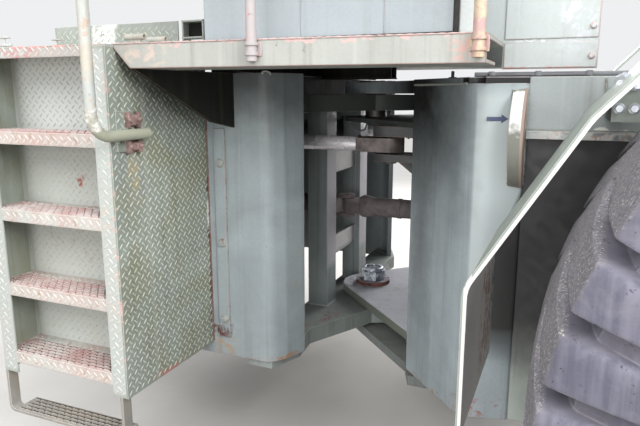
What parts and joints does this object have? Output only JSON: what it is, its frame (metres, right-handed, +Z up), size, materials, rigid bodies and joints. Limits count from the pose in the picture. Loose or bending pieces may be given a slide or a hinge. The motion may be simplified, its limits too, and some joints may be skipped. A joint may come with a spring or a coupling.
{
  "type": "articulated container handler centre section",
  "caption": "Centre section of an articulated container handler: hinged frames, boarding ladder, deck, steering cylinders, driveshaft, fenders and front wheels.",
  "frame": {"origin": "centre of the four bolt holes on the rear flange's back face, at the middle of the frame's height", "axes": "+X forward towards the wheels, +Y to the machine's left, +Z up; the ground is 0.98 m below the origin and the articulation axis 1.25 m ahead of it"},
  "size_m": [3.845, 3.79, 2],
  "materials": {
    "frame_paint": "worn satin grey-green paint with rust at edges",
    "deck_paint": "weathered cream paint with rust",
    "tread_plate": "painted tread plate worn to rust on its edges",
    "rail_paint": "worn pale paint on tube",
    "rusty_steel": "rusty steel",
    "pin_steel": "greasy bare steel nut",
    "cab_paint": "faded blue-grey paint",
    "fender_paint": "faded pale green paint, bare at the edge",
    "cylinder_paint": "dark paint with dirt",
    "chrome_rod": "polished chrome",
    "shaft_steel": "dark rusty steel",
    "axle_casting": "painted casting with dirt",
    "wheel_paint": "satin grey-green paint",
    "tyre_rubber": "dusty black rubber"
  },
  "bodies": {
    "rear_frame": {"rear_side_plate_right": "frame_paint", "rear_side_plate_left": "frame_paint", "rear_flange": "frame_paint", "rear_cross_wall": "frame_paint", "rear_top_plate": "frame_paint", "rear_hitch_plate_lower": "frame_paint", "rear_hitch_plate_upper": "frame_paint", "hitch_lattice": "frame_paint", "column_edge_strip": "frame_paint", "deck_gusset": "frame_paint", "deck_beam": "frame_paint", "cylinder_anchors": "frame_paint", "deck": "deck_paint", "rail_posts": "deck_paint", "ladder_box": "tread_plate", "ladder_landing": "tread_plate", "ladder_treads": "tread_plate", "ladder_stirrup": "tread_plate", "grab_rail": "rail_paint", "grab_rail_bracket": "rusty_steel", "cab_wall_right": "cab_paint", "cab_wall_left": "cab_paint", "cab_wall_front": "cab_paint", "cab_wall_rear": "cab_paint", "cab_wing_plate": "cab_paint", "rear_shaft": "shaft_steel"},
    "front_frame": {"front_box_right": "frame_paint", "front_box_left": "frame_paint", "front_top_plate": "frame_paint", "front_upper_tongue": "frame_paint", "front_lower_tongue": "frame_paint", "front_lower_fork": "frame_paint", "front_wall": "frame_paint", "front_beams": "frame_paint", "front_end_plate": "frame_paint", "lift_eyes": "frame_paint", "fender_stays": "frame_paint", "steering_clevises": "frame_paint", "hitch_pin_upper": "rusty_steel", "hitch_pin_lower": "pin_steel", "fender_right": "fender_paint", "fender_left": "fender_paint", "front_shaft": "shaft_steel", "front_axle": "axle_casting"},
    "middle_shaft": {"middle_shaft": "shaft_steel"},
    "barrel_right": {"cylinder_barrel_right": "cylinder_paint"},
    "barrel_left": {"cylinder_barrel_left": "cylinder_paint"},
    "rod_right": {"cylinder_rod_right": "chrome_rod"},
    "rod_left": {"cylinder_rod_left": "chrome_rod"},
    "wheel_right": {"tyre_right": "tyre_rubber", "rim_right": "wheel_paint"},
    "wheel_left": {"tyre_left": "tyre_rubber", "rim_left": "wheel_paint"}
  },
  "joints": [
    {"name": "articulation", "type": "hinge", "parent": "rear_frame", "child": "front_frame", "pos_m": [1.25, 0, 0], "axis": [0, 0, 1], "range_deg": [-32, 32]},
    {"name": "middle_shaft_swing", "type": "hinge", "parent": "rear_frame", "child": "middle_shaft", "pos_m": [1.12, 0, -0.07], "axis": [0, 0, 1], "range_deg": [-26.78, 26.78]},
    {"name": "barrel_right_swing", "type": "hinge", "parent": "rear_frame", "child": "barrel_right", "pos_m": [0.32, -0.43, 0.273], "axis": [0, 0, 1], "range_deg": [-4.52, 4.52]},
    {"name": "rod_right_slide", "type": "slide", "parent": "barrel_right", "child": "rod_right", "axis": [0.9996, 0.0268, 0], "range_m": [-0.2194, 0.2194]},
    {"name": "barrel_left_swing", "type": "hinge", "parent": "rear_frame", "child": "barrel_left", "pos_m": [0.32, 0.43, 0.273], "axis": [0, 0, 1], "range_deg": [-4.52, 4.52]},
    {"name": "rod_left_slide", "type": "slide", "parent": "barrel_left", "child": "rod_left", "axis": [0.9996, -0.0268, 0], "range_m": [-0.2194, 0.2194]},
    {"name": "wheel_right_spin", "type": "hinge", "parent": "front_frame", "child": "wheel_right", "pos_m": [2.963, -1.595, -0.098], "axis": [0, 1, 0], "continuous": true},
    {"name": "wheel_left_spin", "type": "hinge", "parent": "front_frame", "child": "wheel_left", "pos_m": [2.963, 1.595, -0.098], "axis": [0, 1, 0], "continuous": true}
  ],
  "couplings": [
    {"joint": "middle_shaft_swing", "follows": "articulation", "ratio": 0.8361},
    {"joint": "barrel_right_swing", "follows": "articulation", "ratio": 0.1407},
    {"joint": "rod_right_slide", "follows": "articulation", "m_per_rad": 0.392},
    {"joint": "barrel_left_swing", "follows": "articulation", "ratio": 0.1407},
    {"joint": "rod_left_slide", "follows": "articulation", "m_per_rad": -0.392}
  ]
}
